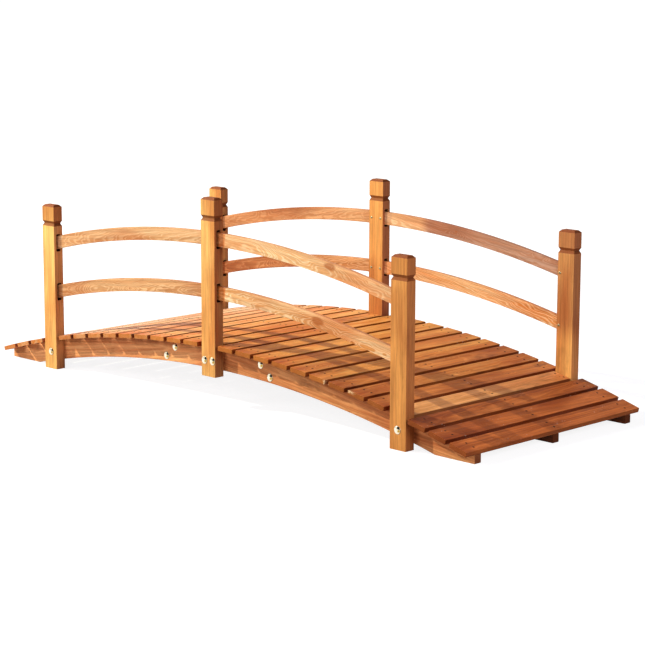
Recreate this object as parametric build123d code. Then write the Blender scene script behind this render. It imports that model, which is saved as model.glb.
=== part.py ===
from build123d import *
import math
import os

# Small timber moon bridge: arched stringers carry a deck of narrow boards,
# and grooved posts hold two curved rails on each side.
# X runs along the bridge, Y across it and Z up. The origin is on the ground at mid-span.

# Overall sizes
bridge_length = 1518
deck_width = 569
deck_crown = 130

# Arched stringers
stringer_depth = 51
stringer_end_height = 18.5
stringer_foot_length = 105
stringer_thickness = 19
board_overhang = 28

# Splice plates that join the two halves of each stringer
splice_half_length = 200
splice_thickness = 19
splice_inset = 3

# Deck boards
board_count = 27
board_width = 47
board_thickness = 10
boards_outside_post = 3

# Posts
post_width = 44
post_depth = 25
post_length = 400
middle_post_reach = 13
corner_post_shift = 4.5
post_board_gap = 1
cap_chamfer = 5
groove_drop = 45
groove_width = 12.5
groove_depth = 3.2

# Rails, and the sockets in the posts that hold them
rail_depth = 30.5
rail_thickness = 9
upper_socket_drop = 91.5
lower_socket_drop = 210.5
tenon_length = 13
socket_extra_depth = 2
socket_corner_radius = 3.5
socket_slack_height = 0.6
socket_slack_width = 3.7


# Arch geometry: every arch is a circle with its highest point above x = 0
def arch_radius(x, rise):
    """Radius of the arch that is lower by rise at x than at its highest point."""
    return (x**2 + rise**2) / (2 * rise)


def arch_height(radius, crown, x):
    """Height of an arch at x."""
    return crown - radius + math.sqrt(radius**2 - x**2)


def arch_edge(radius, crown, x_start, x_end):
    """Piece of an arch between two places along the bridge."""
    x_middle = (x_start + x_end) / 2
    return ThreePointArc(
        (x_start, arch_height(radius, crown, x_start)),
        (x_middle, arch_height(radius, crown, x_middle)),
        (x_end, arch_height(radius, crown, x_end)),
    )


def extrude_across(outline, y_low, thickness):
    """Solid from an outline in X and Z, from y_low to y_low + thickness."""
    plane = Plane(origin=(0, y_low + thickness, 0), x_dir=(1, 0, 0), z_dir=(0, -1, 0))
    return extrude(plane * make_face(outline), amount=thickness)


def curved_plate(top_edge, low_edge, y_low, thickness):
    """Plate between two arcs that start at one x and end at another."""
    outline = [
        top_edge,
        Line(top_edge @ 1, low_edge @ 1),
        low_edge,
        Line(low_edge @ 0, top_edge @ 0),
    ]
    return extrude_across(outline, y_low, thickness)


# Places that the pieces share
half_span = bridge_length / 2
deck_radius = arch_radius(half_span, deck_crown - stringer_end_height)
soffit_crown = deck_crown - stringer_depth
foot_start = half_span - stringer_foot_length
soffit_radius = arch_radius(foot_start, soffit_crown)
stringer_outer_y = deck_width / 2 - board_overhang
stringer_inner_y = stringer_outer_y - stringer_thickness
middle_post_lift = soffit_crown - middle_post_reach


# Stringers
def make_stringer_half(y_low):
    """Right half of a stringer: arched top and underside, flat foot, upright end."""
    outline = [
        arch_edge(deck_radius, deck_crown, 0, half_span),
        Line((half_span, stringer_end_height), (half_span, 0)),
        Line((half_span, 0), (foot_start, 0)),
        arch_edge(soffit_radius, soffit_crown, 0, foot_start),
        Line((0, soffit_crown), (0, deck_crown)),
    ]
    return extrude_across(outline, y_low, stringer_thickness)


def make_splice_plate(y_low):
    """Curved plate across the joint between two stringer halves."""
    reach = splice_half_length
    top = arch_edge(deck_radius - splice_inset, deck_crown - splice_inset, -reach, reach)
    low = arch_edge(soffit_radius + splice_inset, soffit_crown + splice_inset, -reach, reach)
    return curved_plate(top, low, y_low, splice_thickness)


# Deck: boards spaced evenly round the arch, the last ones flush with the stringer ends
last_board = (board_count - 1) // 2
post_board = last_board - boards_outside_post
last_edge_radius = math.hypot(deck_radius, board_width / 2)
last_angle = math.asin(half_span / last_edge_radius) - math.atan(board_width / 2 / deck_radius)
board_step = last_angle / last_board


def make_board(index):
    """Flat board laid on the arch, cut short where posts stand."""
    length = deck_width
    if abs(index) in (0, post_board):
        length = 2 * (stringer_outer_y - post_board_gap)
    angle = index * board_step
    radius = deck_radius + board_thickness / 2
    x = radius * math.sin(angle)
    z = deck_crown - deck_radius + radius * math.cos(angle)
    board = Box(board_width, length, board_thickness)
    return Pos(x, 0, z) * Rot(0, math.degrees(angle), 0) * board


# Rails: each curve passes the sockets of the middle and the corner post at the same drop
corner_post_x = deck_radius * math.sin(post_board * board_step) + corner_post_shift
bay_start = post_width / 2
bay_end = corner_post_x - post_width / 2
tenon_middle_start = bay_start - tenon_length / 2
tenon_middle_end = bay_end + tenon_length / 2
rail_rise = (tenon_middle_end**2 - tenon_middle_start**2 + middle_post_lift**2) / (
    2 * middle_post_lift
)
rail_radius = math.hypot(tenon_middle_start, rail_rise)
rail_slope = math.asin(tenon_middle_end / rail_radius)

post_middle_y = stringer_outer_y + post_depth / 2
socket_width = rail_thickness + socket_slack_width
socket_height = (
    rail_depth / math.cos(rail_slope)
    + tenon_length * math.tan(rail_slope)
    + 2 * socket_corner_radius
    + socket_slack_height
)
socket_drops = {"upper": upper_socket_drop, "lower": lower_socket_drop}


def make_rail(socket_drop):
    """Rail of the right bay on the back side, seated on the inner walls of its sockets."""
    crown = middle_post_lift + post_length - socket_drop + rail_radius - rail_rise
    x_start = bay_start - tenon_length
    x_end = bay_end + tenon_length
    half = rail_depth / 2
    top = arch_edge(rail_radius + half, crown + half, x_start, x_end)
    low = arch_edge(rail_radius - half, crown - half, x_start, x_end)
    return curved_plate(top, low, post_middle_y - socket_width / 2, rail_thickness)


# Posts
def post_silhouette(width):
    """Outline of a post seen square on: groove under the cap, chamfered top."""
    half = width / 2
    groove_height = post_length - groove_drop
    right_side = [
        (half, 0),
        (half, groove_height - groove_width / 2),
        (half - groove_depth, groove_height),
        (half, groove_height + groove_width / 2),
        (half, post_length - cap_chamfer),
        (half - cap_chamfer, post_length),
    ]
    left_side = [(-x, z) for x, z in reversed(right_side)]
    return make_face(Polyline(*right_side, *left_side, close=True))


def make_post(socket_directions):
    """Post on the back side with its foot at Z = 0 and sockets in the faces named by +1 or -1."""
    front_plane = Plane(origin=(0, 0, 0), x_dir=(1, 0, 0), z_dir=(0, -1, 0))
    side_plane = Plane(origin=(0, 0, 0), x_dir=(0, 1, 0), z_dir=(1, 0, 0))
    front = extrude(front_plane * post_silhouette(post_width), amount=post_depth, both=True)
    side = extrude(side_plane * post_silhouette(post_depth), amount=post_width, both=True)
    post = front & side
    profile = RectangleRounded(socket_width, socket_height, socket_corner_radius)
    for direction in socket_directions:
        face_x = direction * post_width / 2
        for drop in socket_drops.values():
            mouth = Plane(
                origin=(face_x, 0, post_length - drop), x_dir=(0, 1, 0), z_dir=(-direction, 0, 0)
            )
            post -= extrude(mouth * profile, amount=tenon_length + socket_extra_depth)
    return post


# Assembly: the back right quarter is modelled, and mirrored to the left and to the front
def to_left(solid):
    """The same piece at the left end."""
    return mirror(solid, about=Plane.YZ)


def to_front(solid):
    """The same piece on the front side."""
    return mirror(solid, about=Plane.XZ)


pieces = {}

back_half = make_stringer_half(stringer_inner_y)
middle_half = make_stringer_half(-stringer_thickness / 2)
pieces["back_stringer_right"] = back_half
pieces["back_stringer_left"] = to_left(back_half)
pieces["middle_stringer_right"] = middle_half
pieces["middle_stringer_left"] = to_left(middle_half)
pieces["front_stringer_right"] = to_front(back_half)
pieces["front_stringer_left"] = to_left(to_front(back_half))

back_splice = make_splice_plate(stringer_inner_y - splice_thickness)
pieces["back_splice_plate"] = back_splice
pieces["middle_splice_plate"] = make_splice_plate(stringer_thickness / 2)
pieces["front_splice_plate"] = to_front(back_splice)

for index in range(-last_board, last_board + 1):
    number = index + last_board + 1
    pieces[f"deck_board_{number:02d}"] = make_board(index)

middle_post = Pos(0, post_middle_y, middle_post_lift) * make_post([1, -1])
corner_post = Pos(corner_post_x, post_middle_y, 0) * make_post([-1])
pieces["back_middle_post"] = middle_post
pieces["front_middle_post"] = to_front(middle_post)
pieces["back_right_post"] = corner_post
pieces["back_left_post"] = to_left(corner_post)
pieces["front_right_post"] = to_front(corner_post)
pieces["front_left_post"] = to_left(to_front(corner_post))

for level, drop in socket_drops.items():
    rail = make_rail(drop)
    pieces[f"back_right_{level}_rail"] = rail
    pieces[f"back_left_{level}_rail"] = to_left(rail)
    pieces[f"front_right_{level}_rail"] = to_front(rail)
    pieces[f"front_left_{level}_rail"] = to_left(to_front(rail))

os.makedirs("parts", exist_ok=True)
for name, solid in pieces.items():
    export_step(solid, f"parts/{name}.step")
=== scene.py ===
import math
import random

import bmesh
import bpy
from mathutils import Matrix, Vector


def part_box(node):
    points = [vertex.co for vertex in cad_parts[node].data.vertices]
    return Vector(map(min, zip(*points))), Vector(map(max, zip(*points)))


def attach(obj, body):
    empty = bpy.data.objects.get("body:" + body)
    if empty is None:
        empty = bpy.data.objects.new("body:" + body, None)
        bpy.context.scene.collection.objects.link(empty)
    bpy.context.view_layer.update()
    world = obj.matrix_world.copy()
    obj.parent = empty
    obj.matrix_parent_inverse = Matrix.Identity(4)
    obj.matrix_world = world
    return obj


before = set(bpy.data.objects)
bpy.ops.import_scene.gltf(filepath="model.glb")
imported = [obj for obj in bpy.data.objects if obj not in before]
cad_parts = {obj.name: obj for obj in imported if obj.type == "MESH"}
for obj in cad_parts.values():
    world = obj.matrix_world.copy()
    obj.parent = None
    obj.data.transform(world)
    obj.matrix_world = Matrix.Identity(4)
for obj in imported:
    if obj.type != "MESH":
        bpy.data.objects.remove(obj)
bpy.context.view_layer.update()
print("frame loaded,", len(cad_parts), "timber pieces")

millimetre = 0.001
white = (1.0, 1.0, 1.0, 1.0)
upwards = (0, 0, 1)
acrossBridge = (0, 1, 0)
seedRange = (3, 90)
socketKinds = {3: "NodeSocketVector", 4: "NodeSocketColor"}
mixColourInputs = (6, 7)  # a Mix node keeps one pair of inputs for each kind of value
mixColourOutput = 2


# Small helpers for wiring nodes
def feed(tree, socket, value):
    if isinstance(value, bpy.types.NodeSocket):
        tree.links.new(value, socket)
    else:
        socket.default_value = value


def maths(tree, operation, *values):
    node = tree.nodes.new("ShaderNodeMath")
    node.operation = operation
    for socket, value in zip(node.inputs, values):
        feed(tree, socket, value)
    return node.outputs["Value"]


def plus(tree, first, second):
    return maths(tree, "ADD", first, second)


def minus(tree, first, second):
    return maths(tree, "SUBTRACT", first, second)


def times(tree, first, second):
    return maths(tree, "MULTIPLY", first, second)


def vectorMaths(tree, operation, first, second):
    node = tree.nodes.new("ShaderNodeVectorMath")
    node.operation = operation
    feed(tree, node.inputs[0], first)
    feed(tree, node.inputs["Scale"] if operation == "SCALE" else node.inputs[1], second)
    return node.outputs["Value" if operation == "DOT_PRODUCT" else "Vector"]


def lengthOf(tree, vector):
    return maths(tree, "SQRT", vectorMaths(tree, "DOT_PRODUCT", vector, vector))


def ease(tree, value, low, high, start=0.0, end=1.0):
    node = tree.nodes.new("ShaderNodeMapRange")
    node.interpolation_type = "SMOOTHSTEP"
    for socket, given in zip(node.inputs, (value, low, high, start, end)):
        feed(tree, socket, given)
    return node.outputs["Result"]


def split(tree, vector):
    node = tree.nodes.new("ShaderNodeSeparateXYZ")
    feed(tree, node.inputs["Vector"], vector)
    return node.outputs["X"], node.outputs["Y"], node.outputs["Z"]


# The stretch of a noise is how often it repeats in a metre along X, Y and Z
def noise(tree, vector, stretch, detail, roughness, output="Fac"):
    node = tree.nodes.new("ShaderNodeTexNoise")
    feed(tree, node.inputs["Vector"], vectorMaths(tree, "MULTIPLY", vector, stretch))
    node.inputs["Scale"].default_value = 1.0
    node.inputs["Detail"].default_value = detail
    node.inputs["Roughness"].default_value = roughness
    return node.outputs[output]


# Noise sharpened into patches, which start at low and are full at high
def patches(tree, vector, stretch, detail, roughness, low, high):
    return ease(tree, noise(tree, vector, stretch, detail, roughness), low, high)


# A distance made ragged by noise
def ragged(tree, distance, vector, stretch, detail, roughness, reach):
    wave = minus(tree, noise(tree, vector, stretch, detail, roughness), 0.5)
    return plus(tree, distance, times(tree, wave, reach))


def drift(tree, vector, stretch, detail, roughness, reach):
    wave = noise(tree, vector, stretch, detail, roughness, "Color")
    wave = vectorMaths(tree, "SUBTRACT", wave, (0.5, 0.5, 0.5))
    return vectorMaths(tree, "SCALE", wave, reach)


# Every piece reads its own part of the noise
def seededPlace(tree, given, shift):
    moved = vectorMaths(tree, "SCALE", shift, given["Seed"])
    return vectorMaths(tree, "ADD", given["Vector"], moved)


def blend(tree, amount, first, second, kind="MIX"):
    node = tree.nodes.new("ShaderNodeMix")
    node.data_type = "RGBA"
    node.blend_type = kind
    feed(tree, node.inputs["Factor"], amount)
    feed(tree, node.inputs[mixColourInputs[0]], first)
    feed(tree, node.inputs[mixColourInputs[1]], second)
    return node.outputs[mixColourOutput]


# Inputs are given with their defaults; every output but Color is a number
def newGroup(name, inputs, outputs):
    tree = bpy.data.node_groups.new(name, "ShaderNodeTree")
    for label, value in inputs.items():
        kind = "NodeSocketFloat" if isinstance(value, float) else socketKinds[len(value)]
        socket = tree.interface.new_socket(label, in_out="INPUT", socket_type=kind)
        socket.default_value = value
    for label in outputs:
        kind = "NodeSocketColor" if label == "Color" else "NodeSocketFloat"
        tree.interface.new_socket(label, in_out="OUTPUT", socket_type=kind)
    given = tree.nodes.new("NodeGroupInput").outputs
    result = tree.nodes.new("NodeGroupOutput").inputs
    return tree, given, result


# The look's value for a socket has the socket's name: ringWidth goes to Ring Width
def placeGroup(tree, group, values, look={}):
    node = tree.nodes.new("ShaderNodeGroup")
    node.node_tree = group
    for socket in node.inputs:
        first, *others = socket.name.split()
        key = first.lower() + "".join(others)
        if key in look:
            feed(tree, socket, look[key])
    for label, value in values.items():
        feed(tree, node.inputs[label], value)
    return node.outputs


def newMaterial(name):
    material = bpy.data.materials.new(name)
    material.use_nodes = True
    tree = material.node_tree
    return material, tree, tree.nodes["Principled BSDF"]


def addBump(tree, shader, height, strength, distance):
    bump = tree.nodes.new("ShaderNodeBump")
    bump.inputs["Strength"].default_value = strength
    bump.inputs["Distance"].default_value = distance
    feed(tree, bump.inputs["Height"], height)
    feed(tree, shader.inputs["Normal"], bump.outputs["Normal"])


# A written sRGB colour as the linear values that shaders take
def paint(code):
    channels = [int(code[i:i + 2], 16) / 255 for i in (1, 3, 5)]
    linear = [c / 12.92 if c <= 0.04045 else ((c + 0.055) / 1.055) ** 2.4 for c in channels]
    return (*linear, 1.0)


def between(first, second, amount):
    return tuple(a + (b - a) * amount for a, b in zip(first, second))


def tint(look, colours, amount):
    for key, colour in colours.items():
        look[key] = between(look[key], colour, amount)


def newObject(name, data):
    thing = bpy.data.objects.new(name, data)
    bpy.context.scene.collection.objects.link(thing)
    return thing


def meshData(mesh, name, material):
    data = bpy.data.meshes.new(name)
    mesh.to_mesh(data)
    mesh.free()
    data.materials.append(material)
    return data


# Timber figure: growth rings round a pith line, pushed aside by knots, and fibres along X
figureShape = {
    "seedShift": (3.17, 5.71, 7.93),
    "wander": ((2.6, 16.0, 16.0), 2.0, 0.45), "curl": ((20.0, 60.0, 60.0), 2.0, 0.5),
    "cellHeight": 2.6, "knotOval": (0.5, 1.0, 0.0), "bulgeReach": 2.6,
    "heart": 0.34, "brownHeart": 1.8, "brownDepth": 0.8,
    "seasonScale": 0.55, "seasonDrift": 1.6, "lateWood": (0.02, 0.45), "yearEnd": (0.78, 0.98),
    "streaks": ((2.4, 75.0, 75.0), 3.0, 0.55, 0.36, 0.7),
    "fibre": ((9.0, 260.0, 260.0), 4.0, 0.65),
    "pores": ((70.0, 1500.0, 1500.0), 1.0, 0.5, 0.62, 0.74),
}
noKnot = (9.0, 9.0, 0.0)  # far outside the piece


# A knot is an oval, about twice as long as it is high
def ovalDistance(tree, place, centre):
    away = vectorMaths(tree, "SUBTRACT", place, centre)
    return lengthOf(tree, vectorMaths(tree, "MULTIPLY", away, figureShape["knotOval"]))


def buildTimberFigure():
    shape = figureShape
    tree, given, result = newGroup("timberFigure", {
        "Vector": (0.0, 0.0, 0.0), "Seed": 0.0, "Ring Width": 0.004, "Pith": (0.0, 0.0, 0.03),
        "Lean": (0.0, 0.01, 0.03), "Wander": 0.006, "Curl": 0.004, "Knot Spacing": 0.2,
        "Knot Size": 0.03, "Knot Push": 0.006, "Brown Knot": noKnot, "Pale Knot": noKnot,
    }, ("Rings", "Streaks", "Fibre", "Pores", "Knots"))
    place = given["Vector"]
    shifted = seededPlace(tree, given, shape["seedShift"])
    wander = drift(tree, shifted, *shape["wander"], given["Wander"])
    curl = drift(tree, shifted, *shape["curl"], given["Curl"])
    wander = vectorMaths(tree, "ADD", wander, curl)
    along, side, depth = split(tree, place)
    leaning = vectorMaths(tree, "SCALE", given["Lean"], along)
    axis = vectorMaths(tree, "ADD", given["Pith"], leaning)
    _, axisSide, axisDepth = split(tree, vectorMaths(tree, "ADD", axis, wander))
    sideway = plus(tree, side, axisSide)
    inward = plus(tree, depth, axisDepth)
    squares = plus(tree, times(tree, sideway, sideway), times(tree, inward, inward))
    radius = maths(tree, "SQRT", squares)

    # knots sit in long cells, so the rings flow round them
    knotCells = tree.nodes.new("ShaderNodeTexVoronoi")
    knotCells.voronoi_dimensions = "2D"
    knotCells.inputs["Scale"].default_value = 1.0
    spacing = given["Knot Spacing"]
    cellAlong, cellSide, _ = split(tree, vectorMaths(tree, "ADD", shifted, wander))
    cellSide = times(tree, cellSide, shape["cellHeight"])
    cell = tree.nodes.new("ShaderNodeCombineXYZ")
    feed(tree, cell.inputs["X"], maths(tree, "DIVIDE", cellAlong, spacing))
    feed(tree, cell.inputs["Y"], maths(tree, "DIVIDE", cellSide, spacing))
    feed(tree, knotCells.inputs["Vector"], cell.outputs["Vector"])
    cellAway = times(tree, knotCells.outputs["Distance"], spacing)
    curled = vectorMaths(tree, "ADD", place, curl)
    brownAway = ovalDistance(tree, curled, given["Brown Knot"])
    away = maths(tree, "MINIMUM", cellAway, brownAway)
    away = maths(tree, "MINIMUM", away, ovalDistance(tree, curled, given["Pale Knot"]))
    reach = times(tree, given["Knot Size"], shape["bulgeReach"])
    bulge = ease(tree, away, 0.0, reach, 1.0, 0.0)
    radius = minus(tree, radius, times(tree, bulge, given["Knot Push"]))

    year = maths(tree, "DIVIDE", radius, given["Ring Width"])
    season = tree.nodes.new("ShaderNodeTexNoise")
    season.noise_dimensions = "1D"
    season.inputs["Scale"].default_value = shape["seasonScale"]
    feed(tree, season.inputs["W"], plus(tree, year, given["Seed"]))
    year = plus(tree, year, times(tree, season.outputs["Fac"], shape["seasonDrift"]))
    part = maths(tree, "FRACT", year)
    late = ease(tree, part, *shape["lateWood"])
    fall = ease(tree, part, *shape["yearEnd"], 1.0, 0.0)
    feed(tree, result["Rings"], times(tree, late, fall))

    feed(tree, result["Streaks"], patches(tree, shifted, *shape["streaks"]))
    feed(tree, result["Fibre"], noise(tree, shifted, *shape["fibre"]))
    feed(tree, result["Pores"], patches(tree, shifted, *shape["pores"]))
    heart = times(tree, given["Knot Size"], shape["heart"])
    core = ease(tree, cellAway, 0.0, heart, 1.0, 0.0)
    brownEdge = times(tree, heart, shape["brownHeart"])
    brownCore = ease(tree, brownAway, heart, brownEdge, shape["brownDepth"], 0.0)
    feed(tree, result["Knots"], maths(tree, "MAXIMUM", core, brownCore))
    return tree


# Cut across the fibres: ends, the groove's slopes and chamfers
cutStart, cutFull = 0.2, 0.5


def buildCutEnds():
    tree, given, result = newGroup("cutEnds", {"Grain Axis": (1.0, 0.0, 0.0)}, ("Mask",))
    facing = tree.nodes.new("ShaderNodeTexCoord").outputs["Normal"]
    lined = vectorMaths(tree, "DOT_PRODUCT", facing, given["Grain Axis"])
    lined = maths(tree, "ABSOLUTE", lined)
    feed(tree, result["Mask"], ease(tree, lined, cutStart, cutFull))
    return tree


# Handling wear along edges, broken up so it comes and goes
wearShape = {
    "samples": 4, "bend": (0.8, 0.985), "seedShift": (1.3, 2.9, 4.7),
    "patches": ((60.0, 60.0, 60.0), 4.0, 0.6, 0.4, 0.62),
}


def buildEdgeWear():
    tree, given, result = newGroup(
        "edgeWear", {"Vector": (0.0, 0.0, 0.0), "Seed": 0.0, "Wear Width": 0.0015}, ("Mask",))
    soft = tree.nodes.new("ShaderNodeBevel")
    soft.samples = wearShape["samples"]
    feed(tree, soft.inputs["Radius"], given["Wear Width"])
    true = tree.nodes.new("ShaderNodeNewGeometry").outputs["True Normal"]
    match = vectorMaths(tree, "DOT_PRODUCT", soft.outputs["Normal"], true)
    bent = ease(tree, match, *wearShape["bend"], 1.0, 0.0)
    place = seededPlace(tree, given, wearShape["seedShift"])
    worn = patches(tree, place, *wearShape["patches"])
    feed(tree, result["Mask"], times(tree, bent, worn))
    return tree


# Smudges, drips of stain and grubby marks
markShape = {
    "seedShift": (9.1, 4.3, 2.7),
    "wide": ((7.0, 26.0, 26.0), 3.0, 0.55, 0.55, 0.72),
    "small": ((30.0, 95.0, 95.0), 3.0, 0.6, 0.35, 0.62),
    "blotches": ((4.0, 13.0, 13.0), 2.0, 0.5),
    "flecks": ((150.0, 330.0, 330.0), 1.0, 0.5, 0.68, 0.78),
    "fleckPlaces": ((11.0, 30.0, 30.0), 1.0, 0.5, 0.56, 0.68),
}


def buildYardMarks():
    tree, given, result = newGroup(
        "yardMarks", {"Vector": (0.0, 0.0, 0.0), "Seed": 0.0},
        ("Smudges", "Blotches", "Scuffs"))
    place = seededPlace(tree, given, markShape["seedShift"])
    wide, small, flecks, fleckPlaces = (
        patches(tree, place, *markShape[key])
        for key in ("wide", "small", "flecks", "fleckPlaces"))
    feed(tree, result["Smudges"], times(tree, wide, small))
    feed(tree, result["Blotches"], noise(tree, place, *markShape["blotches"]))
    feed(tree, result["Scuffs"], times(tree, flecks, fleckPlaces))
    return tree


# Darker towards the ends of a piece, from stain that soaked in, and on some pieces a painted
# shadow; places are along it from its middle
stainAndShadowShape = {
    "seedShift": (2.3, 3.9, 5.1), "edge": ((9.0, 60.0, 60.0), 2.0, 0.5, 0.02),
    "capEdge": 0.004,
}


def buildEndStainAndShadow():
    tree, given, result = newGroup("soakedEnds", {
        "Vector": (0.0, 0.0, 0.0), "Seed": 0.0, "Cap Start": 0.155, "Cap Amount": 0.4,
        "Foot Start": -0.13, "Foot End": -0.2, "Foot Amount": 0.3}, ("Mask",))
    along, _, _ = split(tree, given["Vector"])
    place = seededPlace(tree, given, stainAndShadowShape["seedShift"])
    edge = ragged(tree, along, place, *stainAndShadowShape["edge"])
    capFull = plus(tree, given["Cap Start"], stainAndShadowShape["capEdge"])
    cap = times(tree, ease(tree, along, given["Cap Start"], capFull), given["Cap Amount"])
    foot = ease(tree, edge, given["Foot End"], given["Foot Start"], 1.0, 0.0)
    foot = times(tree, foot, given["Foot Amount"])
    feed(tree, result["Mask"], plus(tree, cap, foot))
    return tree


# Bare wood where a corner has splintered off
tornShape = {"edge": ((150.0, 500.0, 500.0), 3.0, 0.65, 0.02), "bareness": 0.95, "onFaces": 0.45}


def buildTornWood():
    tree, given, result = newGroup("tornWood", {
        "Vector": (0.0, 0.0, 0.0), "Corner": (0.0, 0.0, 0.0), "Squeeze": (1.0, 1.0, 1.0),
        "Size": 0.008, "Cut Ends": 0.0}, ("Mask",))
    away = vectorMaths(tree, "SUBTRACT", given["Vector"], given["Corner"])
    away = lengthOf(tree, vectorMaths(tree, "MULTIPLY", away, given["Squeeze"]))
    away = ragged(tree, away, given["Vector"], *tornShape["edge"])
    near = ease(tree, away, 0.0, given["Size"], tornShape["bareness"], 0.0)
    exposed = ease(tree, given["Cut Ends"], 0.0, 1.0, tornShape["onFaces"], 1.0)
    feed(tree, result["Mask"], times(tree, near, exposed))
    return tree


# Painted shade inside the sockets of a post; the distances are in from its sides and its faces
socketShadeShape = {"fromSide": (0.0005, 0.004), "fromFace": (0.0045, 0.0055), "along": (0.15, 0.16)}


def buildPaintedSocketShade():
    tree, given, result = newGroup("socketGloom", {
        "Vector": (0.0, 0.0, 0.0), "Half Width": 0.022, "Half Depth": 0.0125}, ("Mask",))
    along, side, depth = split(tree, given["Vector"])
    fromSide = minus(tree, given["Half Width"], maths(tree, "ABSOLUTE", side))
    fromFace = minus(tree, given["Half Depth"], maths(tree, "ABSOLUTE", depth))
    inside = times(tree, ease(tree, fromSide, *socketShadeShape["fromSide"]),
                   ease(tree, fromFace, *socketShadeShape["fromFace"]))
    along = ease(tree, maths(tree, "ABSOLUTE", along), *socketShadeShape["along"], 1.0, 0.0)
    feed(tree, result["Mask"], times(tree, inside, along))
    return tree


# Stain coat: turns the figure, the marks and the painted shade into a colour, a roughness and a
# height
coatColours = ("Pale", "Dark", "Deep", "End", "Soak", "Side", "Scuff")
coatMasks = ("Rings", "Streaks", "Fibre", "Pores", "Knots", "Cut Ends", "Sawn Sides", "Soaked",
             "Edge Wear", "Smudges", "Blotches", "Scuffs", "Gloom")
coatStrengths = ("Ring Strength", "Streak Strength", "Smudge Strength", "Blotch Strength",
                 "Wear Strength", "End Strength", "Side Strength", "Scuff Strength")
coatShape = {
    "blotches": (0.4, 0.68), "fibreTone": (0.3, 0.7, 0.78, 1.12),
    "poreDepth": 0.25, "knotDepth": 0.85, "gloomDepth": 0.9,
    "roughness": (0.2, 0.8, 0.5, 0.66), "endRoughness": 0.15,
    "fibreHeight": 0.6, "ringHeight": -0.35, "poreHeight": -0.5, "bump": 0.6,
}


def buildStainCoat():
    shape = coatShape
    inputs = {label: white for label in coatColours}
    inputs.update({label: 0.0 for label in coatMasks + coatStrengths})
    tree, given, result = newGroup("stainCoat", inputs, ("Color", "Roughness", "Height"))
    rings = times(tree, given["Rings"], given["Ring Strength"])
    streaks = times(tree, given["Streaks"], given["Streak Strength"])
    darkness = maths(tree, "MINIMUM", plus(tree, rings, streaks), 1.0)
    colour = blend(tree, darkness, given["Pale"], given["Dark"])
    blotches = ease(tree, given["Blotches"], *shape["blotches"])
    blotches = times(tree, blotches, given["Blotch Strength"])
    colour = blend(tree, blotches, colour, given["Dark"], "MULTIPLY")
    colour = vectorMaths(tree, "SCALE", colour, ease(tree, given["Fibre"], *shape["fibreTone"]))
    # what lies over the figure, from the lowest layer up: mask, strength, colour and blend
    layers = (
        ("Pores", shape["poreDepth"], "Deep", "MIX"),
        ("Smudges", given["Smudge Strength"], "Deep", "MIX"),
        # stain at the ends of pieces, and a painted shadow on some
        ("Soaked", 1.0, "Soak", "MULTIPLY"),
        # painted shade on the posts' upright sides, and dirt with painted shade between the deck
        # boards
        ("Sawn Sides", given["Side Strength"], "Side", "MULTIPLY"),
        ("Cut Ends", given["End Strength"], "End", "MIX"),
        ("Knots", shape["knotDepth"], "Deep", "MIX"),
        ("Edge Wear", given["Wear Strength"], "Pale", "MIX"),
        ("Scuffs", given["Scuff Strength"], "Scuff", "MIX"),
        # painted shade inside the sockets
        ("Gloom", shape["gloomDepth"], "Deep", "MIX"),
    )
    for mask, strength, tone, kind in layers:
        colour = blend(tree, times(tree, given[mask], strength), colour, given[tone], kind)
    feed(tree, result["Color"], colour)
    roughness = ease(tree, given["Fibre"], *shape["roughness"])
    ends = times(tree, given["Cut Ends"], shape["endRoughness"])
    feed(tree, result["Roughness"], plus(tree, roughness, ends))
    height = plus(tree, times(tree, given["Fibre"], shape["fibreHeight"]),
                  times(tree, given["Rings"], shape["ringHeight"]))
    height = plus(tree, height, times(tree, given["Pores"], shape["poreHeight"]))
    feed(tree, result["Height"], height)
    return tree


timberFigure = buildTimberFigure()
cutEnds = buildCutEnds()
edgeWear = buildEdgeWear()
yardMarks = buildYardMarks()
soakedEnds = buildEndStainAndShadow()
tornWood = buildTornWood()
socketGloom = buildPaintedSocketShade()
stainCoat = buildStainCoat()
print("wood effects built")


# One stained timber material; grain and face are directions of the sawn piece
def stainedTimber(name, look, centre, grain, face, seed):
    material, tree, shader = newMaterial(name)
    along = Vector(grain).normalized()
    depth = Vector(face).normalized()
    side = depth.cross(along)
    mapping = tree.nodes.new("ShaderNodeMapping")
    mapping.vector_type = "TEXTURE"
    mapping.inputs["Location"].default_value = centre
    turn = Matrix((along, side, depth)).transposed()
    mapping.inputs["Rotation"].default_value = turn.to_euler()
    coordinates = tree.nodes.new("ShaderNodeTexCoord")
    feed(tree, mapping.inputs["Vector"], coordinates.outputs["Object"])
    place = {"Vector": mapping.outputs["Vector"], "Seed": seed}

    figure = placeGroup(tree, timberFigure, place, look)
    marks = placeGroup(tree, yardMarks, place)
    masks = {mask.name: mask for mask in (*figure, *marks)}
    masks["Cut Ends"] = placeGroup(tree, cutEnds, {"Grain Axis": along})["Mask"]
    masks["Sawn Sides"] = placeGroup(tree, cutEnds, {"Grain Axis": side})["Mask"]
    masks["Edge Wear"] = placeGroup(tree, edgeWear, place, look)["Mask"]
    # stain at the ends, and a painted shadow on some pieces
    if "footStart" in look:
        masks["Soaked"] = placeGroup(tree, soakedEnds, place, look)["Mask"]
    # painted shade inside a post's sockets
    if "halfWidth" in look:
        socketShade = placeGroup(tree, socketGloom, {"Vector": place["Vector"]}, look)
        masks["Gloom"] = socketShade["Mask"]
    coat = placeGroup(tree, stainCoat, masks, look)
    feed(tree, shader.inputs["Base Color"], coat["Color"])
    feed(tree, shader.inputs["Roughness"], coat["Roughness"])
    shader.inputs["Specular IOR Level"].default_value = look["shine"]
    addBump(tree, shader, coat["Height"], coatShape["bump"], look["relief"])
    return material


edgeShape = {"weld": 0.01 * millimetre, "segments": 2, "sharpest": math.radians(22)}


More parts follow.
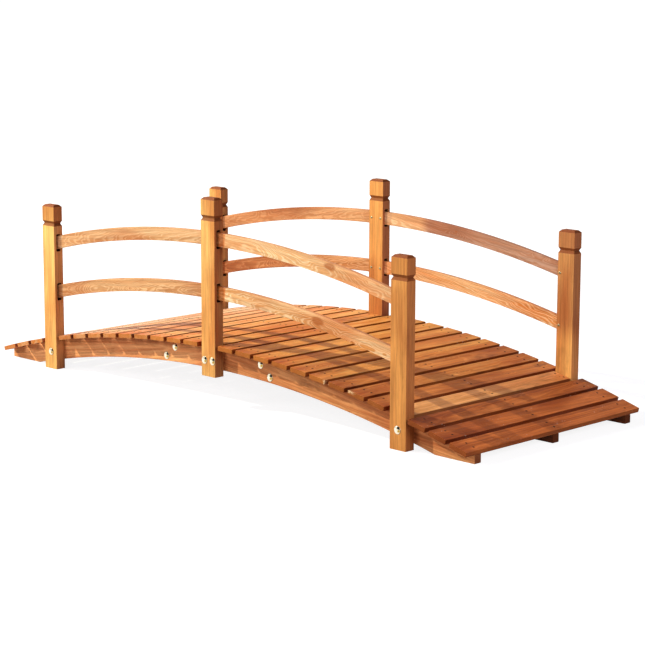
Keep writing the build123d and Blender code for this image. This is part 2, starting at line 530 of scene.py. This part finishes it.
def dress(nodeName, material, easedEdge):
    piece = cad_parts[nodeName]
    for slot in piece.material_slots:
        slot.material = material
    weld = piece.modifiers.new("join seams", "WELD")
    weld.merge_threshold = edgeShape["weld"]
    bevel = piece.modifiers.new("eased edges", "BEVEL")
    bevel.width = easedEdge
    bevel.segments = edgeShape["segments"]
    bevel.limit_method = "ANGLE"
    bevel.angle_limit = edgeShape["sharpest"]
    piece.modifiers.new("flat faces", "WEIGHTED_NORMAL")


def middleOf(nodeName):
    low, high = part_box(nodeName)
    return (Vector(low) + Vector(high)) / 2


# Posts
postLook = {
    "pale": paint("#FFCE78"), "dark": paint("#D27C34"), "deep": paint("#3A180A"),
    "end": paint("#7A3A14"), "scuff": paint("#F4D8B0"), "soak": (0.45, 0.22, 0.08, 1.0),
    "ringWidth": 0.0034, "pith": (0.0, 0.012, 0.045), "lean": (0.0, 0.006, 0.012),
    "wander": 0.008, "curl": 0.001, "knotSpacing": 0.3, "knotSize": 0.012, "knotPush": 0.005,
    "wearWidth": 0.0016, "ringStrength": 0.16, "streakStrength": 0.22, "sideStrength": 1.0,
    "smudgeStrength": 0.3, "blotchStrength": 0.6, "wearStrength": 0.3, "endStrength": 0.9,
    "scuffStrength": 0.08, "shine": 0.16, "relief": 0.0004,
    "capStart": 0.15, "footStart": -0.13, "footEnd": -0.2, "footAmount": 0.2,
    # the post's size, for the painted shade inside its sockets
    "halfWidth": 0.022, "halfDepth": 0.0125,
}
postSettings = {
    "brown": {"pale": paint("#DE9248"), "dark": paint("#98481E")},
    "easedEdge": 0.8 * millimetre, "firstSeed": 11.3, "seedStep": 2.7,
    # painted shadow over one post's upper half, and its cap
    "stainedPost": "back_right_post",
    "stained": {"footStart": -0.06, "footEnd": 0.0, "footAmount": 0.75,
                "soak": (0.55, 0.42, 0.48, 1.0)},
}
# brownness of the stain, extra stain on the cap, and a painted shade tint that makes the upright
# sides differ from the face
posts = {
    "front_left_post": {"brown": 0.04, "capAmount": 0.55, "side": (0.83, 0.64, 0.75, 1.0)},
    "front_middle_post": {"brown": 0.1, "capAmount": 0.15, "side": (0.58, 0.43, 0.48, 1.0)},
    "front_right_post": {"brown": 0.85, "capAmount": 0.25, "side": (0.76, 0.62, 0.66, 1.0)},
    "back_left_post": {"brown": 0.4, "capAmount": 0.2, "side": (0.92, 0.84, 1.0, 1.0)},
    "back_middle_post": {"brown": 0.68, "capAmount": 0.1, "side": (0.72, 0.54, 0.76, 1.0)},
    "back_right_post": {"brown": 0.45, "capAmount": 0.4, "side": (0.97, 0.8, 0.88, 1.0)},
}


def dressPosts():
    for count, (nodeName, post) in enumerate(posts.items()):
        look = {**postLook, **post}
        tint(look, postSettings["brown"], post["brown"])
        # one post gets a painted shadow over its upper half
        if nodeName == postSettings["stainedPost"]:
            look.update(postSettings["stained"])
        seed = postSettings["firstSeed"] + postSettings["seedStep"] * count
        material = stainedTimber(
            "honeyPost_" + nodeName, look, middleOf(nodeName), upwards, acrossBridge, seed)
        dress(nodeName, material, postSettings["easedEdge"])


# Rails
railLook = {
    "pale": paint("#FFE6B8"), "dark": paint("#E29C54"), "deep": paint("#A04E18"),
    "end": paint("#9A5A2C"), "scuff": paint("#FFF0D4"), "side": paint("#E0B088"),
    "ringWidth": 0.0017, "pith": (0.0, 0.004, 0.04), "wander": 0.014, "curl": 0.0065,
    "knotSpacing": 0.26, "knotSize": 0.018, "knotPush": 0.008, "wearWidth": 0.0012,
    "streakStrength": 0.3, "smudgeStrength": 0.3, "blotchStrength": 0.5, "wearStrength": 0.25,
    "endStrength": 0.8, "sideStrength": 0.5, "scuffStrength": 0.3, "shine": 0.15,
    "relief": 0.0004, "capStart": 0.242,
}
railSettings = {
    "brown": {"pale": paint("#DA9454"), "dark": paint("#9C5628")},
    "easedEdge": 0.7 * millimetre, "seed": 31, "climb": 0.12,
    "sideLean": 0.015, "depthLean": (0.035, 0.06),
    # painted shadow over one rail, in this tint
    "shadedRail": "back_right_upper", "shadedSoak": (0.53, 0.44, 0.58, 1.0),
}
# strength of the rings, brownness of the stain, extra darkening round the upper joint, and the
# darker part towards the lower end: where it starts and is full, and how dark it gets
railColumns = ("ringStrength", "brown", "capAmount", "footStart", "footEnd", "footAmount")
rails = {
    # the darker lower ends of the front left rails sit in the left post's shadow: a dark joint
    # and painted shade
    "front_left_upper": (0.5, 0.45, 0.1, -0.25, -0.262, 0.4),
    "front_left_lower": (0.6, 0.56, 0.1, -0.25, -0.262, 0.4),
    # the darker upper ends of the front right rails reach over the middle post's shadow: a dark
    # joint and painted shade
    "front_right_upper": (0.55, 0.0, 0.7, 0.1, -0.2, 0.4),
    "front_right_lower": (0.66, 0.1, 0.85, 0.1, -0.2, 0.25),
    "back_left_upper": (0.42, 0.64, 0.1, 0.25, -0.1, 0.45),
    "back_left_lower": (0.62, 0.7, 0.1, 0.25, -0.1, 0.5),
    # painted shadow over most of this rail, towards its right end
    "back_right_upper": (0.45, 0.35, 0.3, 0.16, 0.12, 0.85),
    "back_right_lower": (0.8, 0.1, 0.3, 0.1, -0.2, 0.15),
}
# knots whose places are known, along and up from the rail's middle
railKnots = {
    "front_left_lower": {"paleKnot": (-0.124, -0.009, 0.0)},
    "front_right_upper": {"brownKnot": (-0.079, 0.022, 0.0), "paleKnot": (0.151, 0.021, 0.0)},
    "front_right_lower": {"brownKnot": (-0.045, 0.017, 0.0), "paleKnot": (-0.184, 0.013, 0.0)},
}


def dressRails():
    settings = railSettings
    draw = random.Random(settings["seed"])
    for rail, values in rails.items():
        nodeName = rail + "_rail"
        look = {**railLook, **dict(zip(railColumns, values)), **railKnots.get(rail, {})}
        tint(look, settings["brown"], look["brown"])
        shaded = rail == settings["shadedRail"]
        look["soak"] = settings["shadedSoak"] if shaded else look["dark"]
        look["lean"] = (0.0, draw.uniform(-settings["sideLean"], settings["sideLean"]),
                        draw.choice((-1, 1)) * draw.uniform(*settings["depthLean"]))
        uphill = (1 if "left" in rail else -1, 0, settings["climb"])
        material = stainedTimber("curvedRail_" + nodeName, look, middleOf(nodeName), uphill,
                                 acrossBridge, draw.uniform(*seedRange))
        dress(nodeName, material, settings["easedEdge"])


# Stringers and their splice plates
stringerLook = {
    "pale": paint("#FFBA7A"), "dark": paint("#C46A36"), "deep": paint("#3A170B"),
    "end": paint("#6A2C14"), "side": paint("#C89070"), "scuff": paint("#F4D8B0"),
    "ringWidth": 0.005, "pith": (0.0, 0.01, 0.03), "lean": (0.0, 0.01, 0.03), "wander": 0.014,
    "curl": 0.004, "knotSpacing": 0.35, "knotSize": 0.012, "knotPush": 0.004,
    "wearWidth": 0.0016, "ringStrength": 0.3, "streakStrength": 0.4, "smudgeStrength": 0.35,
    "blotchStrength": 0.5, "wearStrength": 0.35, "endStrength": 0.85, "sideStrength": 0.5,
    "scuffStrength": 0.3, "shine": 0.1, "relief": 0.0004,
}
stringerSettings = {
    "easedEdge": 1.0 * millimetre, "seed": 57, "redness": 0.3,
    "red": {"pale": paint("#E08C4C"), "dark": paint("#985226")},
    # painted shade: under the deck the inner stringers are darker
    "inner": {"pale": paint("#6E381A"), "dark": paint("#421A0A"), "end": paint("#5E2C12")},
    "slopes": {"stringer_left": 0.14, "stringer_right": -0.14, "splice_plate": 0.0},
}


def dressStringers():
    settings = stringerSettings
    draw = random.Random(settings["seed"])
    for row in ("front", "middle", "back"):
        for part, slope in settings["slopes"].items():
            nodeName = f"{row}_{part}"
            redness = settings["redness"]
            if part != "stringer_right":
                redness = draw.uniform(0.0, redness)
            look = dict(stringerLook)
            tint(look, settings["red"], redness)
            if row != "front":
                look.update(settings["inner"])
            material = stainedTimber("arch_" + nodeName, look, middleOf(nodeName), (1, 0, slope),
                                     acrossBridge, draw.uniform(*seedRange))
            dress(nodeName, material, settings["easedEdge"])


# Deck boards
deckLook = {
    "pale": paint("#FFC266"), "dark": paint("#E68430"), "deep": paint("#3C1508"),
    # the long sides are darker: dirt in the gaps and painted shade between the boards
    "end": paint("#B87434"), "side": (0.36, 0.24, 0.2, 1.0), "scuff": paint("#F2DCC4"),
    "ringWidth": 0.0045, "wander": 0.014, "curl": 0.005, "knotSpacing": 0.2, "knotSize": 0.013,
    "knotPush": 0.009, "wearWidth": 0.0014, "blotchStrength": 0.5, "wearStrength": 0.35,
    "endStrength": 0.65, "sideStrength": 0.9, "scuffStrength": 0.45, "shine": 0.08,
    "relief": 0.0005, "capAmount": 0.0, "footStart": -0.23, "footEnd": -0.28, "footAmount": 0.4,
}
deckSettings = {
    "boards": 27, "middleBoard": 14, "thickness": 10 * millimetre, "seed": 83,
    "easedEdge": 0.9 * millimetre, "outerSideStrength": 0.25,
    # the boards get redder towards the right
    "red": {"pale": paint("#D07438"), "dark": paint("#90441A"), "end": paint("#7E401C")},
    "redMost": 1.1, "redCurve": 2.5, "redScatter": (-0.1, 0.16),
    # painted light and sheen: the boards at the left are paler
    "faded": {"pale": paint("#FFEAC2")}, "fadedMost": 1.5, "fadedPart": 0.5,
    "lightBoard": 24, "light": {"pale": paint("#F6B06C"), "dark": paint("#CE8848")},
    "sideLean": 0.02, "depthLean": 0.05, "pithSide": 0.02, "pithDepth": (0.02, 0.05),
    "rings": (0.2, 0.45), "smudges": (0.25, 0.75), "streaks": (0.4, 0.9), "streakLoss": 0.5,
    # splintered front corners: place from the board's middle, along, left and up, and stretch
    "torn": {20: {"Corner": (-0.284, -0.023, 0.001), "Squeeze": (0.8, 1.4, 0.6)},
             22: {"Corner": (-0.284, 0.016, 0.004), "Squeeze": (1.2, 0.5, 1.4)}},
    "tornSize": 0.0075, "tornColour": paint("#ECC694"),
}


# The deck follows one arch: its radius comes from the crown and the end boards
def deckRadius():
    crown = middleOf(f"deck_board_{deckSettings['middleBoard']:02d}")
    last = middleOf(f"deck_board_{deckSettings['boards']:02d}")
    drop = crown.z - last.z
    return (last.x ** 2 + drop ** 2) / (2 * drop)


archRadius = deckRadius()


def boardTilt(centre):
    return math.asin(centre.x / archRadius)


def clamp(value):
    return min(1.0, max(0.0, value))


def tearCorner(material, splinter):
    tree = material.node_tree
    base = tree.nodes["Principled BSDF"].inputs["Base Color"]
    ends = placeGroup(tree, cutEnds, {"Grain Axis": acrossBridge})
    torn = placeGroup(tree, tornWood, {
        "Vector": tree.nodes["Mapping"].outputs["Vector"], "Size": deckSettings["tornSize"],
        "Cut Ends": ends["Mask"], **splinter})
    stained = base.links[0].from_socket
    feed(tree, base, blend(tree, torn["Mask"], stained, deckSettings["tornColour"]))


def dressDeck():
    settings = deckSettings
    draw = random.Random(settings["seed"])
    count = settings["boards"]
    for number in range(1, count + 1):
        nodeName = f"deck_board_{number:02d}"
        centre = middleOf(nodeName)
        tilt = boardTilt(centre)
        towardsRight = number / count
        redness = settings["redMost"] * towardsRight ** settings["redCurve"]
        redness = clamp(redness + draw.uniform(*settings["redScatter"]))
        faded = clamp(settings["fadedMost"] * (1 - towardsRight / settings["fadedPart"]))
        look = dict(deckLook)
        tint(look, settings["red"], redness)
        tint(look, settings["faded"], faded)
        if number == settings["lightBoard"]:
            look.update(settings["light"])
        look["lean"] = (0.0, draw.uniform(-settings["sideLean"], settings["sideLean"]),
                        draw.uniform(-settings["depthLean"], settings["depthLean"]))
        look["pith"] = (0.0, draw.uniform(-settings["pithSide"], settings["pithSide"]),
                        draw.uniform(*settings["pithDepth"]))
        look["ringStrength"] = draw.uniform(*settings["rings"])
        look["smudgeStrength"] = draw.uniform(*settings["smudges"])
        look["streakStrength"] = (draw.uniform(*settings["streaks"])
                                  * (1.0 - settings["streakLoss"] * towardsRight))
        look["soak"] = look["dark"]
        if number in (1, count):
            look["sideStrength"] = settings["outerSideStrength"]
        upright = (math.sin(tilt), 0, math.cos(tilt))
        material = stainedTimber("deckBoard_" + nodeName, look, centre, acrossBridge, upright,
                                 draw.uniform(*seedRange))
        if number in settings["torn"]:
            tearCorner(material, settings["torn"][number])
        dress(nodeName, material, settings["easedEdge"])


dressPosts()
dressRails()
dressStringers()
dressDeck()
print("timber dressed")


# Metal finishes: a painted gold reflection on one side of a head, and painted shade round its rim
breathShape = {
    "clouds": ((1.0, 1.0, 1.0), 3.0, 0.6, 0.42, 0.7), "scratches": ((1.0, 9.0, 1.0), 4.0, 0.7),
    "worn": (0.3, 0.7), "giltCore": 0.001, "grimeEdge": 0.9, "grimeDepth": 0.8,
    "roughness": (0.3, 0.75, 0.2, 0.42), "bump": 0.4, "relief": 0.1 * millimetre,
}


def buildPlatedBreath():
    shape = breathShape
    tree, given, result = newGroup("platedBreath", {
        "Vector": (0.0, 0.0, 0.0), "Bright": white, "Dull": white, "Scale": 300.0, "Gilt": white,
        "Gilt Place": (9.0, 9.0, 9.0), "Gilt Reach": 0.004, "Grime": white, "Grime Start": 9.0,
    }, ("Color", "Roughness", "Height"))
    place = vectorMaths(tree, "SCALE", given["Vector"], given["Scale"])
    clouds = patches(tree, place, *shape["clouds"])
    scratches = noise(tree, place, *shape["scratches"])
    worn = times(tree, clouds, ease(tree, scratches, *shape["worn"]))
    colour = blend(tree, worn, given["Bright"], given["Dull"])
    away = lengthOf(tree, vectorMaths(tree, "SUBTRACT", given["Vector"], given["Gilt Place"]))
    gilt = ease(tree, away, shape["giltCore"], given["Gilt Reach"], 1.0, 0.0)
    colour = blend(tree, gilt, colour, given["Gilt"], "MULTIPLY")
    outward = lengthOf(tree, vectorMaths(tree, "MULTIPLY", given["Vector"], (1.0, 1.0, 0.0)))
    grimeStart = times(tree, given["Grime Start"], shape["grimeEdge"])
    grime = ease(tree, outward, grimeStart, given["Grime Start"], 0.0, shape["grimeDepth"])
    feed(tree, result["Color"], blend(tree, grime, colour, given["Grime"]))
    feed(tree, result["Roughness"], ease(tree, scratches, *shape["roughness"]))
    feed(tree, result["Height"], scratches)
    return tree


platedBreath = buildPlatedBreath()


def platedMetal(name, look):
    material, tree, shader = newMaterial(name)
    place = tree.nodes.new("ShaderNodeTexCoord").outputs["Object"]
    breath = placeGroup(tree, platedBreath, {"Vector": place}, look)
    feed(tree, shader.inputs["Base Color"], breath["Color"])
    feed(tree, shader.inputs["Roughness"], plus(tree, breath["Roughness"], look["rougher"]))
    shader.inputs["Metallic"].default_value = look["metallic"]
    shader.inputs["Specular IOR Level"].default_value = look["shine"]
    addBump(tree, shader, breath["Height"], breathShape["bump"], breathShape["relief"])
    return material


# Small metal shapes are drawn in millimetres; a turned one is a profile of (radius, height)
# points spun round Z
weldDistance = 1e-7


def turned(mesh, profile, sides):
    points = [mesh.verts.new((radius * millimetre, 0.0, height * millimetre))
              for radius, height in profile]
    edges = [mesh.edges.new(pair) for pair in zip(points, points[1:])]
    bmesh.ops.spin(mesh, geom=points + edges, cent=(0, 0, 0), axis=upwards,
                   angle=math.tau, steps=sides)
    bmesh.ops.remove_doubles(mesh, verts=mesh.verts[:], dist=weldDistance)


# A ring's reach from the axis is one length, or a function of the turn
def addRing(mesh, sides, height, reach):
    ring = []
    for step in range(sides):
        turn = step / sides * math.tau
        radius = reach(turn) if callable(reach) else reach
        spot = Vector((radius * math.cos(turn), radius * math.sin(turn), height))
        ring.append(mesh.verts.new(spot * millimetre))
    return ring


def bridgeRings(mesh, rings):
    for lower, upper in zip(rings, rings[1:]):
        for step in range(len(lower)):
            after = (step + 1) % len(lower)
            mesh.faces.new((lower[step], lower[after], upper[after], upper[step]))
    mesh.faces.new(rings[0][::-1])


def domeProfile(radius, height, rim, steps):
    rise = height - rim
    ball = (radius ** 2 + rise ** 2) / (2 * rise)
    widest = math.asin(radius / ball)
    turns = [step / steps * widest for step in range(steps + 1)]
    return [(ball * math.sin(turn), height - ball + ball * math.cos(turn)) for turn in turns]


def finishMesh(mesh, name, material, smoothAngle):
    bmesh.ops.recalc_face_normals(mesh, faces=mesh.faces[:])
    data = meshData(mesh, name, material)
    data.shade_smooth()
    data.set_sharp_from_angle(angle=math.radians(smoothAngle))
    return data


def addPiece(name, data, place, towards):
    piece = newObject(name, data)
    piece.rotation_mode = "QUATERNION"
    piece.rotation_quaternion = Vector(towards).to_track_quat("Z", "Y")
    piece.location = place
    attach(piece, "root")


# Carriage bolts: domed heads outside, washer, nut and thread end inside
boltLook = {
    "bright": paint("#F6F0DA"), "dull": paint("#D8B468"), "scale": 200.0, "rougher": -0.18,
    # a painted gold reflection on one side of each head
    "metallic": 1.0, "shine": 0.5, "gilt": (0.55, 0.36, 0.02, 1.0),
    "giltPlace": (0.0052, -0.0012, 0.0012), "giltReach": 0.0048,
    # painted shade round the rim of each head
    "grime": paint("#5A3E1E"), "grimeStart": 0.0089,
}
boltShape = {
    "headRadius": 9.0, "headHeight": 3.0, "rim": 0.6, "sunk": 0.6, "sides": 40, "domeSteps": 14,
    "washerRadius": 8.0, "washerThickness": 1.3, "washerEdge": 0.3, "washerSunk": 0.3,
    "nutAcross": 10.0, "nutHeight": 5.0, "nutChamfer": 0.7, "nutBore": 0.2, "nutSides": 36,
    "threadRadius": 3.0, "threadStart": 1.5, "threadProud": 3.0, "threadTip": 0.3,
    "threadSides": 24, "ridge": 0.5, "root": 0.86, "valley": 0.84, "tip": 0.7,
    "headSmooth": 50, "nutSmooth": 30,
}
# bolts along the bridge, up, and how far out from the middle line their heads and nuts sit;
# the inner ones go through the middle stringer
boltPlaces = {
    "outer": [("corner", 573.0, 42.0, 281.5, 237.5), ("middle", 13.0, 102.0, 281.5, 218.5),
              ("splice", 142.0, 110.0, 256.5, 218.5), ("splice", 172.0, 86.0, 256.5, 218.5)],
    "inner": [(142.0, 110.0, -9.5, 28.5), (172.0, 86.0, -9.5, 28.5)],
}


def boltHeadMesh(material):
    shape = boltShape
    mesh = bmesh.new()
    radius, rim = shape["headRadius"], shape["rim"]
    dome = domeProfile(radius - rim / 2, shape["headHeight"], rim, shape["domeSteps"])
    edge = [(radius, rim / 3), (radius, -shape["sunk"]), (0.0, -shape["sunk"])]
    turned(mesh, dome + edge, shape["sides"])
    return finishMesh(mesh, "carriageBoltHead", material, shape["headSmooth"])


def hexReach(turn):
    sixth = math.pi / 3
    return boltShape["nutAcross"] / 2 / math.cos(turn % sixth - sixth / 2)


def threadProfile(start, end, foot):
    shape = boltShape
    radius, ridge = shape["threadRadius"], shape["ridge"]
    profile = [(0.0, foot), (radius * shape["root"], start)]
    while start < end - ridge:
        profile += [(radius, start + ridge / 2), (radius * shape["valley"], start + ridge)]
        start += ridge
    tip = end + shape["threadTip"]
    return profile + [(radius * shape["tip"], tip), (0.0, tip)]


def nutMesh(material):
    shape = boltShape
    mesh = bmesh.new()
    washer, edge, washerTop = shape["washerRadius"], shape["washerEdge"], shape["washerThickness"]
    turned(mesh, [(0.0, -shape["washerSunk"]), (washer, -shape["washerSunk"]),
                  (washer, washerTop - edge), (washer - edge, washerTop), (0.0, washerTop)],
           shape["sides"])
    nutTop = washerTop + shape["nutHeight"]
    bridgeRings(mesh, [addRing(mesh, shape["nutSides"], height, reach) for height, reach in (
        (washerTop, hexReach), (nutTop - shape["nutChamfer"], hexReach),
        (nutTop, shape["nutAcross"] / 2), (nutTop - shape["nutBore"], shape["threadRadius"]))])
    thread = threadProfile(
        nutTop - shape["threadStart"], nutTop + shape["threadProud"], washerTop)
    turned(mesh, thread, shape["threadSides"])
    return finishMesh(mesh, "boltNutAndWasher", material, shape["nutSmooth"])


def addBolts():
    material = platedMetal("yellowZinc", boltLook)
    head = boltHeadMesh(material)
    nut = nutMesh(material)

    def addBolt(kind, number, x, z, headY, nutY):
        facing = math.copysign(1, headY - nutY)
        addPiece(f"{kind}_bolt_head_{number}", head, Vector((x, headY, z)) * millimetre,
                 (0, facing, 0))
        addPiece(f"{kind}_bolt_nut_{number}", nut, Vector((x, nutY, z)) * millimetre,
                 (0, -facing, 0))

    number = 0
    for side in (-1, 1):
        for end in (-1, 1):
            for kind, x, z, outside, inside in boltPlaces["outer"]:
                number += 1
                addBolt(kind, f"{number:02d}", end * x, z, side * outside, side * inside)
    number = 0
    for end in (-1, 1):
        for x, z, headY, nutY in boltPlaces["inner"]:
            number += 1
            addBolt("inner_splice", number, end * x, z, headY, nutY)


# Rail screws in the posts' inner faces, with a cross recess
screwLook = {
    "bright": paint("#B0AE88"), "dull": paint("#767054"), "scale": 500.0, "rougher": 0.08,
    "metallic": 1.0, "shine": 0.5,
}
screwShape = {
    "radius": 2.9, "edge": 0.15, "shoulder": 0.78, "shoulderHeight": 0.8, "height": 1.1,
    "sunk": 0.4, "crossLength": 1.7, "crossWidth": 0.35, "crossDepth": 0.5, "crossTaper": 0.8,
    "sides": 48, "smooth": 40,
}
screwPlaces = {
    "face": 256.5, "spots": [(14.5, 374.0), (14.5, 253.0), (557.5, 304.0), (557.5, 187.0)],
}


def crossReach(turn):
    nothing = 1e-6
    thinnest = min(max(abs(math.cos(turn)), nothing), max(abs(math.sin(turn)), nothing))
    return min(screwShape["crossLength"], screwShape["crossWidth"] / thinnest)


def crossFloor(turn):
    return crossReach(turn) * screwShape["crossTaper"]


def screwMesh(material):
    shape = screwShape
    mesh = bmesh.new()
    radius, height = shape["radius"], shape["height"]
    rings = [addRing(mesh, shape["sides"], level, reach) for level, reach in (
        (-shape["sunk"], radius), (shape["edge"], radius),
        (height * shape["shoulderHeight"], radius * shape["shoulder"]),
        (height, crossReach), (height - shape["crossDepth"], crossFloor))]
    bridgeRings(mesh, rings)
    mesh.faces.new(rings[-1])
    return finishMesh(mesh, "railScrewHead", material, shape["smooth"])


def addScrews():
    head = screwMesh(platedMetal("paleZinc", screwLook))
    number = 0
    for side in (-1, 1):
        for end in (-1, 1):
            for x, z in screwPlaces["spots"]:
                number += 1
                place = Vector((end * x, side * screwPlaces["face"], z)) * millimetre
                addPiece(f"rail_screw_{number:02d}", head, place, (0, -side, 0))


# Board nails: one piece for each row along a stringer
nailLook = {
    "bright": paint("#241914"), "dull": paint("#120B08"), "scale": 900.0, "rougher": 0.45,
    "metallic": 0.0, "shine": 0.1,
}
nailShape = {
    "radius": 2.4, "height": 0.45, "sunk": 0.6, "sides": 14, "smooth": 50,
    # the head's profile: shares of its radius and of its height
    "head": [(0.0, 1.0), (0.6, 0.92), (0.92, 0.55), (1.0, 0.0)], "shank": 0.9,
}
nailPlaces = {
    "rows": {"front_row": -249.0, "middle_row": 4.0, "back_row": 249.0},
    "offset": 10.0, "scatter": 1.6, "seed": 19,
    "shortBoardEdge": 0.27, "shortBoardShift": 3.0,  # short boards are nailed further in
}


def nailMesh():
    shape = nailShape
    mesh = bmesh.new()
    profile = [(x * shape["radius"], z * shape["height"]) for x, z in shape["head"]]
    profile += [(shape["radius"] * shape["shank"], -shape["sunk"]), (0.0, -shape["sunk"])]
    turned(mesh, profile, shape["sides"])
    data = bpy.data.meshes.new("nail")
    mesh.to_mesh(data)
    mesh.free()
    return data


def addNails():
    material = platedMetal("dullNail", nailLook)
    places = nailPlaces
    draw = random.Random(places["seed"])
    for rowName, y in places["rows"].items():
        mesh = bmesh.new()
        for number in range(1, deckSettings["boards"] + 1):
            centre = middleOf(f"deck_board_{number:02d}")
            tilt = boardTilt(centre)
            across = Vector((math.cos(tilt), 0, -math.sin(tilt)))
            up = Vector((math.sin(tilt), 0, math.cos(tilt)))
            turn = Matrix((across, Vector(acrossBridge), up)).transposed().to_4x4()
            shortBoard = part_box(f"deck_board_{number:02d}")[1][1] < places["shortBoardEdge"]
            for sign in (-1, 1):
                offset = sign * places["offset"] + draw.uniform(-1, 1) * places["scatter"]
                slip = draw.uniform(-1, 1) * places["scatter"]
                if shortBoard and rowName != "middle_row":
                    slip -= math.copysign(places["shortBoardShift"], y)
                spot = centre + across * offset * millimetre + up * deckSettings["thickness"] / 2
                spot.y = (y + slip) * millimetre
                nail = nailMesh()
                nail.transform(Matrix.Translation(spot) @ turn)
                mesh.from_mesh(nail)
                bpy.data.meshes.remove(nail)
        piece = newObject(rowName + "_nails",
                          finishMesh(mesh, rowName + "_nails", material, nailShape["smooth"]))
        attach(piece, "root")


addBolts()
addScrews()
addNails()
print("bolts, screws and nails added")


# Floor and background: white to the camera and in the metal, darker to everything else
floorLook = {
    "halfSize": 60.0, "squares": 4, "drop": 0.3 * millimetre, "grey": (0.3, 0.3, 0.3, 1.0),
    "roughness": 0.9, "mirrored": 0.9, "seenNear": 0.87, "seenFar": 1.0,
    "nearRadius": 1.0, "farRadius": 3.5, "background": 1.0, "ambient": 0.09,
}


# Rays that should see the background's own white
def seenRays(tree, mirrored):
    path = tree.nodes.new("ShaderNodeLightPath").outputs
    glossy = times(tree, path["Is Glossy Ray"], mirrored)
    seen = maths(tree, "MAXIMUM", path["Is Camera Ray"], glossy)
    return maths(tree, "MAXIMUM", seen, path["Is Transmission Ray"])


def matt(shader, grey, roughness):
    shader.inputs["Base Color"].default_value = grey
    shader.inputs["Roughness"].default_value = roughness
    shader.inputs["Specular IOR Level"].default_value = 0.0


def addFloor():
    look = floorLook
    material, tree, shader = newMaterial("paleFloor")
    matt(shader, look["grey"], look["roughness"])
    shader.inputs["Emission Color"].default_value = white
    seen = seenRays(tree, look["mirrored"])
    distance = tree.nodes.new("ShaderNodeVectorMath")
    distance.operation = "LENGTH"
    feed(tree, distance.inputs[0], tree.nodes.new("ShaderNodeTexCoord").outputs["Object"])
    glow = ease(tree, distance.outputs["Value"], look["nearRadius"], look["farRadius"],
                look["seenNear"], look["seenFar"])
    feed(tree, shader.inputs["Emission Strength"], times(tree, seen, glow))
    mesh = bmesh.new()
    bmesh.ops.create_grid(mesh, x_segments=look["squares"], y_segments=look["squares"],
                          size=look["halfSize"])
    floor = newObject("studioFloor", meshData(mesh, "studioFloor", material))
    floor.location.z = -look["drop"]


def setWorld():
    world = bpy.data.worlds.new("studioWorld")
    bpy.context.scene.world = world
    world.use_nodes = True
    tree = world.node_tree
    background = tree.nodes["Background"]
    background.inputs["Color"].default_value = white
    strength = ease(tree, seenRays(tree, 1.0), 0.0, 1.0, floorLook["ambient"],
                    floorLook["background"])
    feed(tree, background.inputs["Strength"], strength)


# Soft studio lights; the mirrored ones show in the plated bolts
studioLights = {
    "keyWindow": {"place": (-5.15, -3.03, 3.8), "size": 0.06, "watts": 600.0,
                  "colour": (1.0, 0.985, 0.8), "mirrored": True},
    "frontSoftbox": {"place": (-1.8, -4.4, 2.1), "size": 2.4, "watts": 118.0,
                     "colour": (1.0, 0.97, 1.02), "mirrored": False},
    "highSoftbox": {"place": (-2.2, -0.3, 2.6), "size": 1.6, "watts": 34.0,
                    "colour": (1.0, 0.83, 1.3), "mirrored": True},
    "rightReflector": {"place": (2.1, -0.7, 0.9), "size": 0.9, "watts": 16.0,
                       "colour": (1.0, 0.96, 1.08), "mirrored": True},
}
lightTarget = (0.0, 0.0, 0.15)


def addLights():
    for name, light in studioLights.items():
        data = bpy.data.lights.new(name, "AREA")
        data.shape = "DISK"
        data.size = light["size"]
        data.energy = light["watts"]
        data.color = light["colour"]
        lamp = newObject(name, data)
        lamp.location = light["place"]
        aim = Vector(lightTarget) - lamp.location
        lamp.rotation_euler = aim.to_track_quat("-Z", "Y").to_euler()
        lamp.visible_glossy = light["mirrored"]


# Seen only in the plated bolts: the unlit part of the studio beside the camera
studioShade = {
    "place": (-0.55, -5.9, 1.7), "radius": 2.8, "sides": 48, "grey": (0.02, 0.018, 0.015, 1.0),
}


def addShade():
    material, _, shader = newMaterial("unlitStudio")
    matt(shader, studioShade["grey"], 1.0)
    mesh = bmesh.new()
    bmesh.ops.create_circle(mesh, cap_ends=True, segments=studioShade["sides"],
                            radius=studioShade["radius"])
    shade = newObject("studioShade", meshData(mesh, "studioShade", material))
    shade.location = studioShade["place"]
    shade.rotation_euler = (-shade.location).to_track_quat("Z", "Y").to_euler()
    shade.visible_camera = False
    shade.visible_diffuse = False
    shade.visible_shadow = False
    shade.visible_transmission = False


# Camera at the photograph's viewing angle; angles are in degrees
cameraView = {
    "place": (3.2218, -3.1490, 0.9767), "heading": 44.84, "lookDown": 10.01, "roll": -0.19,
    "lens": 110.3, "shift": (-0.0083, -0.0191),
}


def addCamera():
    data = bpy.data.cameras.new("photoCamera")
    data.lens = cameraView["lens"]
    data.shift_x, data.shift_y = cameraView["shift"]
    camera = newObject("photoCamera", data)
    camera.location = cameraView["place"]
    angles = (90 - cameraView["lookDown"], cameraView["roll"], cameraView["heading"])
    camera.rotation_euler = [math.radians(angle) for angle in angles]
    bpy.context.scene.camera = camera


addFloor()
setWorld()
addLights()
addShade()
addCamera()
bpy.context.scene.view_settings.view_transform = "Standard"
print("studio ready")
